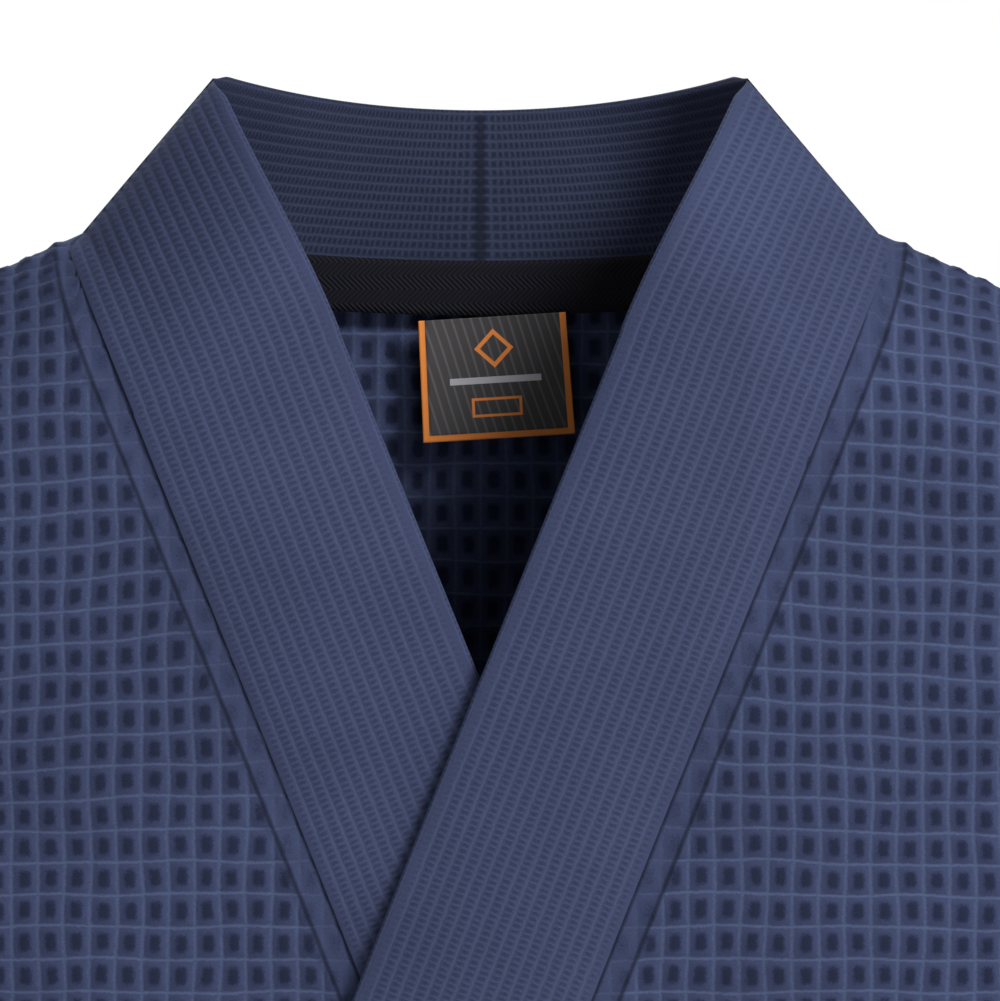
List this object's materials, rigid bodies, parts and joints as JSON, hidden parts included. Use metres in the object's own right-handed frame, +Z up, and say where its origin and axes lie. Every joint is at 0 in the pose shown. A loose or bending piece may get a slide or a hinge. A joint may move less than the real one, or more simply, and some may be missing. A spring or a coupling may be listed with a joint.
{
  "type": "bathrobe",
  "caption": "Knee-length kimono-collar bathrobe in navy waffle cloth, fronts overlapped, with sleeves, patch pockets, belt and neck label.",
  "frame": {"origin": "midway between the two neck points of the shoulder seams, where a hanger's hook leaves the robe", "axes": "+Z up along the robe's length, +Y towards its back, +X towards the wearer's left"},
  "size_m": [1.1354, 0.1536, 1.201],
  "materials": {
    "waffle_cloth": "matte navy cotton in a large waffle weave",
    "collar_cloth": "matte navy cotton in a fine waffle weave",
    "tape": "near-black navy herringbone twill tape",
    "label": "charcoal satin label with an orange border",
    "belt": "matte navy waffle belt"
  },
  "bodies": {
    "robe_body": {"back_panel": "waffle_cloth", "left_front_side": "waffle_cloth", "right_front_side": "waffle_cloth", "left_collar_neck": "collar_cloth", "right_collar_neck": "collar_cloth", "neck_tape": "tape", "left_belt_loop": "belt", "right_belt_loop": "belt", "belt_wrap": "belt"},
    "left_front": {"left_front_wing": "waffle_cloth", "left_collar_front": "collar_cloth", "left_pocket": "waffle_cloth", "left_pocket_hem": "waffle_cloth"},
    "left_sleeve_tube": {"left_sleeve": "waffle_cloth", "left_cuff": "waffle_cloth"},
    "left_belt_end": {"left_belt_tail": "belt"},
    "right_front": {"right_front_wing": "waffle_cloth", "right_collar_front": "collar_cloth", "right_pocket": "waffle_cloth", "right_pocket_hem": "waffle_cloth"},
    "right_sleeve_tube": {"right_sleeve": "waffle_cloth", "right_cuff": "waffle_cloth"},
    "right_belt_end": {"right_belt_tail": "belt"},
    "neck_label_flap": {"neck_label": "label"}
  },
  "joints": [
    {"name": "left_front_open", "type": "hinge", "parent": "robe_body", "child": "left_front", "pos_m": [0.137, -0.0518, -0.045], "axis": [-0.1328, 0.0009, 0.9911], "range_deg": [0, 80]},
    {"name": "right_front_open", "type": "hinge", "parent": "robe_body", "child": "right_front", "pos_m": [-0.137, -0.0518, -0.045], "axis": [-0.1328, -0.0009, -0.9911], "range_deg": [0, 24]},
    {"name": "left_sleeve_raise", "type": "hinge", "parent": "robe_body", "child": "left_sleeve_tube", "pos_m": [0.3, 0, -0.085], "axis": [0, -1, 0], "range_deg": [0, 55]},
    {"name": "left_belt_tail_swing", "type": "hinge", "parent": "robe_body", "child": "left_belt_end", "pos_m": [0.331, -0.044, -0.452], "axis": [-0.7071, -0.7071, 0], "range_deg": [0, 45]},
    {"name": "right_sleeve_raise", "type": "hinge", "parent": "robe_body", "child": "right_sleeve_tube", "pos_m": [-0.3, 0, -0.085], "axis": [0, 1, 0], "range_deg": [0, 55]},
    {"name": "right_belt_tail_swing", "type": "hinge", "parent": "robe_body", "child": "right_belt_end", "pos_m": [-0.331, -0.044, -0.452], "axis": [-0.7071, 0.7071, 0], "range_deg": [0, 45]},
    {"name": "label_flip", "type": "hinge", "parent": "robe_body", "child": "neck_label_flap", "pos_m": [0.0045, 0.044, -0.03], "axis": [1, 0, 0], "range_deg": [-110, 0]}
  ],
  "couplings": [
    {"joint": "right_front_open", "follows": "left_front_open", "ratio": 0.3}
  ]
}
